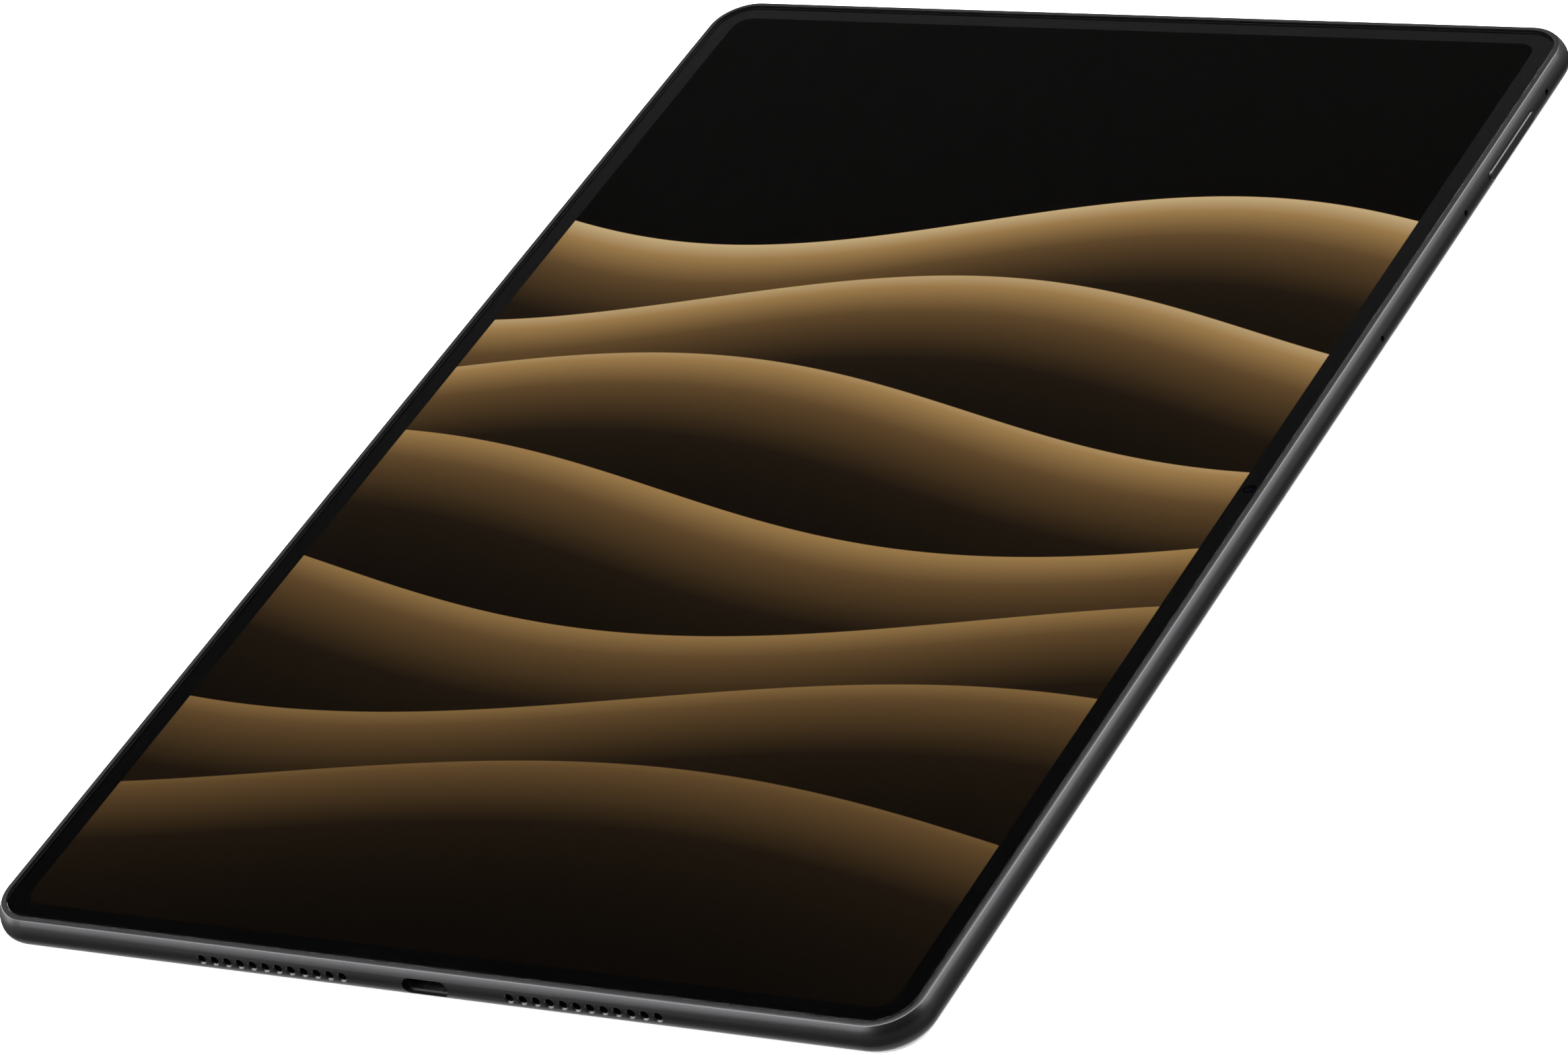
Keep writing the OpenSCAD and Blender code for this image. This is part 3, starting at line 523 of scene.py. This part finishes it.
def new_piece(name, form, materials):
    """Visible object from a bmesh, whose faces point into the list of materials."""
    mesh = bpy.data.meshes.new(name)
    form.to_mesh(mesh)
    form.free()
    for material in materials:
        mesh.materials.append(material)
    piece = bpy.data.objects.new(name, mesh)
    scene.collection.objects.link(piece)
    return piece


def rounded_outline(half_x, half_y, radius, steps, centre=(0, 0)):
    """Rounded rectangle, counterclockwise, with each corner an arc of so many steps."""
    outline = []
    for quarter, (side_x, side_y) in enumerate(((1, 1), (-1, 1), (-1, -1), (1, -1))):
        for step in range(steps + 1):
            angle = math.radians(90 * (quarter + step / steps))
            outline.append((
                centre[0] + side_x * (half_x - radius) + radius * math.cos(angle),
                centre[1] + side_y * (half_y - radius) + radius * math.sin(angle),
            ))
    return outline


def middle(node):
    """Centre of a CAD node in millimetres, along X and Y."""
    low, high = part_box(node)
    return ((low.x + high.x) / 2 / MM, (low.y + high.y) / 2 / MM)


def half_sizes(node):
    """Half the size of a CAD node in millimetres, along X and Y."""
    low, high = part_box(node)
    return ((high.x - low.x) / 2 / MM, (high.y - low.y) / 2 / MM)


# ---------- screen picture ----------

PANEL_CORNER_MM = 5.25
PANEL_CORNER_STEPS = 8
PANEL_FACE_DROP_MM = 0.01
BAY_EDGE_MM = 85.25
BAY_NEAR_MM = -14.8
BAY_FAR_MM = 2.5
WAVE_COUNT = 7
WAVE_FIRST_MM = 70
WAVE_STEP_MM = 27
WAVE_HEIGHT_MM = 11
WAVE_LENGTH_MM = 210
WAVE_STRETCH_MM = 14
WAVE_TURN = 1.25
WAVE_EDGE_MM = 0.25
WAVE_FADE_MM = 17
WAVE_GLOW = 0.92
WAVE_GLOW_STEP = 0.07


def wave_layer(finish, split, under, index):
    """Lays one wave over the picture so far: bright along its crest and fading below it."""
    length = (WAVE_LENGTH_MM + WAVE_STRETCH_MM * index) * MM
    turn = finish.calculate("MULTIPLY", split.outputs["X"], 2 * math.pi / length)
    swell = finish.calculate("SINE", finish.calculate("ADD", turn, WAVE_TURN * index))
    crest = finish.calculate(
        "ADD",
        finish.calculate("MULTIPLY", swell, WAVE_HEIGHT_MM * MM),
        (WAVE_FIRST_MM - WAVE_STEP_MM * index) * MM,
    )
    depth = finish.calculate("SUBTRACT", crest, split.outputs["Y"])
    cover = finish.calculate("DIVIDE", depth, WAVE_EDGE_MM * MM, clamp=True)
    fade = finish.calculate("POWER", math.e, finish.calculate("DIVIDE", depth, -WAVE_FADE_MM * MM))
    glow = finish.calculate("MULTIPLY", fade, WAVE_GLOW - WAVE_GLOW_STEP * index, clamp=True)
    kept = finish.calculate("MULTIPLY", under, finish.calculate("SUBTRACT", 1.0, cover))
    return finish.calculate("ADD", kept, finish.calculate("MULTIPLY", glow, cover))


def picture_finish():
    """Lit screen with plain layered waves, all from one sine formula."""
    finish = Finish("picture_waves", Roughness=1.0, Specular_IOR_Level=0.0, Base_Color=(0, 0, 0, 1))
    split = finish.add("SeparateXYZ")
    finish.link(finish.place(), split.inputs["Vector"])
    brightness = finish.calculate("MULTIPLY", split.outputs["Z"], 0)
    for index in range(WAVE_COUNT):
        brightness = wave_layer(finish, split, brightness, index)
    colour = finish.ramp(
        brightness,
        (0.0, srgb(5, 4, 3)), (0.2, srgb(34, 25, 15)), (0.45, srgb(104, 78, 46)),
        (0.7, srgb(172, 136, 84)), (1.0, srgb(232, 206, 158)),
    )
    finish.feed(colour, "Emission Color")
    finish.shader.inputs["Emission Strength"].default_value = 1.0
    return finish.material


def panel_outline():
    """Outline of the display panel in millimetres, with the bay for the front camera and sensor."""
    half_x, half_y = half_sizes("display_panel")
    bay = [
        (half_x, BAY_NEAR_MM), (BAY_EDGE_MM, BAY_NEAR_MM),
        (BAY_EDGE_MM, BAY_FAR_MM), (half_x, BAY_FAR_MM),
    ]
    return rounded_outline(half_x, half_y, PANEL_CORNER_MM, PANEL_CORNER_STEPS) + bay


def make_screen_picture():
    """The display panel with its lit face."""
    panel_low, panel_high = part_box("display_panel")
    face_z = panel_high.z / MM - PANEL_FACE_DROP_MM
    outline = panel_outline()
    form = bmesh.new()
    low = [form.verts.new(mm(x, y, panel_low.z / MM)) for x, y in outline]
    top = [form.verts.new(mm(x, y, face_z)) for x, y in outline]
    form.faces.new(top)
    unlit = [form.faces.new(low[::-1])]
    for here in range(len(outline)):
        after = (here + 1) % len(outline)
        unlit.append(form.faces.new((low[here], low[after], top[after], top[here])))
    for face in unlit:
        face.material_index = 1
    materials = (picture_finish(), moulded_plastic("panel_edge", srgb(12, 12, 13), roughness=0.6))
    piece = new_piece("screen_picture", form, materials)
    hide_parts("display_panel")
    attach(piece, ROOT)


# ---------- camera pieces ----------

TURN_STEPS = 64
LENS_BLACK = moulded_plastic("lens_barrel", srgb(8, 8, 9), roughness=0.5, gloss=0.25)
FRONT_BLACK = moulded_plastic("front_lens_barrel", srgb(2, 2, 3), roughness=0.7, gloss=0.05)
FRONT_COAT = coated_lens("front_lens_dome", srgb(6, 20, 46), gloss=0.06)
LENS_COAT = coated_lens("lens_dome", srgb(10, 18, 52))
WIDE_COAT = coated_lens("wide_lens_dome", srgb(22, 12, 44))
RING_METAL = plain_metal("lens_ring", srgb(92, 92, 94), roughness=0.25)
DECK_INK = moulded_plastic("deck_ink", srgb(9, 9, 10), roughness=0.6, grain_mm=3, gloss=0.2)
FLASH_LENS = phosphor("flash_lens")

# Profiles are (radius, height) pairs, in order along the turned outline.
FRONT_LENS_MM = 0.62
FRONT_LENS_Z_MM = 4.62
FRONT_BARREL = (
    (0.2, 2.2), (1.15, 2.2), (1.15, 4.0), (1.6, 4.0), (1.6, 4.4), (1.1, 4.4), (1.1, 4.76),
    (1.06, 4.8), (0.94, 4.8), (0.9, 4.76), (0.86, 4.6), (0.7, 4.56),
    (0.66, FRONT_LENS_Z_MM), (FRONT_LENS_MM, FRONT_LENS_Z_MM),
)
MAIN_LENS_MM = 1.6
MAIN_RING = ((2.55, -0.46), (2.55, -0.62), (2.48, -0.68), (2.3, -0.68), (2.22, -0.6), (2.1, -0.46))
MAIN_SEAT = ((1.88, -0.17), (1.88, -0.3), (1.7, -0.34), (MAIN_LENS_MM, -0.28))
WIDE_LENS_MM = 1.34
WIDE_RING = ((2.45, -1.055), (2.45, -1.09), (2.4, -1.11), (2.2, -1.11), (2.12, -1.06))
WIDE_SEAT = ((2.1, -1.06), (2.0, -1.07), (1.4, -1.07), (WIDE_LENS_MM, -1.06))
FLASH_LENS_MM = 2.15
FLASH_LENS_Z_MM = -1.055
FLASH_MIDDLE_Z_MM = -1.1
RIDGE_COUNT = 8
RIDGE_FIRST_MM = 2.1
RIDGE_STEP_MM = 0.25
RIDGE_WIDTH_MM = 0.2
RIDGE_CREST_Z_MM = -1.11
RIDGE_FOOT_Z_MM = -1.065

INK_INSET_MM = 0.05
INK_CORNER_MM = 6.7
INK_CORNER_STEPS = 16
INK_LIFT_MM = 0.02
INK_WINDOWS_MM = {"main_camera_lens": 2.9, "wide_camera_module": 2.6, "flash_led": 2.3}


def circle(centre, radius):
    """Points around a circle, TURN_STEPS of them."""
    turns = [math.tau * step / TURN_STEPS for step in range(TURN_STEPS)]
    return [(centre[0] + radius * math.cos(turn), centre[1] + radius * math.sin(turn)) for turn in turns]


def turned(name, parts, centre, body):
    """Turned piece from (material, profile) parts around a centre, riding on a body."""
    form = bmesh.new()
    for index, (_, profile) in enumerate(parts):
        rings = []
        for radius, z in profile:
            if radius == 0:
                rings.append([form.verts.new(mm(*centre, z))] * TURN_STEPS)
            else:
                rings.append([form.verts.new(mm(x, y, z)) for x, y in circle(centre, radius)])
        for ring, following in zip(rings, rings[1:]):
            for here in range(TURN_STEPS):
                after = (here + 1) % TURN_STEPS
                corners = dict.fromkeys((ring[here], ring[after], following[after], following[here]))
                face = form.faces.new(list(corners))
                face.material_index = index
                face.smooth = True
    bmesh.ops.recalc_face_normals(form, faces=form.faces)
    piece = new_piece(name, form, [material for material, _ in parts])
    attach(piece, body)
    return piece


def dome(radius, edge_z, rise, steps=8):
    """Profile of a shallow lens from its edge to its middle."""
    return [
        (radius * (1 - step / steps), edge_z + rise * (1 - (1 - step / steps) ** 2))
        for step in range(steps + 1)
    ]


def make_front_lens():
    """Front camera: flanged barrel, stepped mouth and a small domed lens under the cover glass."""
    glass = dome(FRONT_LENS_MM, edge_z=FRONT_LENS_Z_MM, rise=0.12)
    lens = turned(
        "front_lens_barrel",
        ((FRONT_BLACK, FRONT_BARREL), (FRONT_COAT, glass)),
        middle("front_camera_lens"), ROOT,
    )
    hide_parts("front_camera_lens")


def make_main_lens():
    """Front element of the focusing lens, set in the mouth of its barrel and moving with it."""
    glass = dome(MAIN_LENS_MM, edge_z=-0.2, rise=-0.3, steps=14)
    turned(
        "main_lens_element",
        ((RING_METAL, MAIN_RING), (LENS_BLACK, MAIN_SEAT), (LENS_COAT, glass)),
        middle("main_camera_lens"), "focus_lens",
    )


def make_wide_lens():
    """Wide camera's front lens with its thin bright ring, against the deck glass."""
    glass = dome(WIDE_LENS_MM, edge_z=-1.055, rise=-0.06, steps=12)
    turned(
        "wide_lens_element",
        ((RING_METAL, WIDE_RING), (LENS_BLACK, WIDE_SEAT), (WIDE_COAT, glass)),
        middle("wide_camera_module"), ROOT,
    )


def make_flash_lens():
    """Flash lens with its concentric ridges."""
    profile = [(FLASH_LENS_MM, FLASH_LENS_Z_MM)]
    for ridge in range(RIDGE_COUNT):
        radius = RIDGE_FIRST_MM - RIDGE_STEP_MM * ridge
        profile += [(radius, RIDGE_CREST_Z_MM), (radius - RIDGE_WIDTH_MM, RIDGE_FOOT_Z_MM)]
    profile.append((0, FLASH_MIDDLE_Z_MM))
    turned("flash_lens", ((FLASH_LENS, profile),), middle("flash_led"), ROOT)


def make_deck_ink():
    """Black ink behind the deck glass, open in front of the two cameras and the flash."""
    half_x, half_y = (half - INK_INSET_MM for half in half_sizes("rear_camera_glass"))
    centre = middle("rear_camera_glass")
    loops = [rounded_outline(half_x, half_y, INK_CORNER_MM, INK_CORNER_STEPS, centre)]
    loops += [circle(middle(node), radius) for node, radius in INK_WINDOWS_MM.items()]
    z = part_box("rear_camera_glass")[1].z / MM + INK_LIFT_MM
    form = bmesh.new()
    for points in loops:
        ring = [form.verts.new(mm(x, y, z)) for x, y in points]
        for start, end in zip(ring, ring[1:] + ring[:1]):
            form.edges.new((start, end))
    bmesh.ops.triangle_fill(form, edges=form.edges, use_beauty=True)
    piece = new_piece("deck_ink", form, [DECK_INK])
    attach(piece, ROOT)


def make_camera_pieces():
    """Small turned and printed pieces of the three cameras and the flash."""
    make_front_lens()
    make_main_lens()
    make_wide_lens()
    make_flash_lens()
    make_deck_ink()


make_camera()
make_floor()
make_studio()
finish_cad_nodes()
make_screen_picture()
make_camera_pieces()
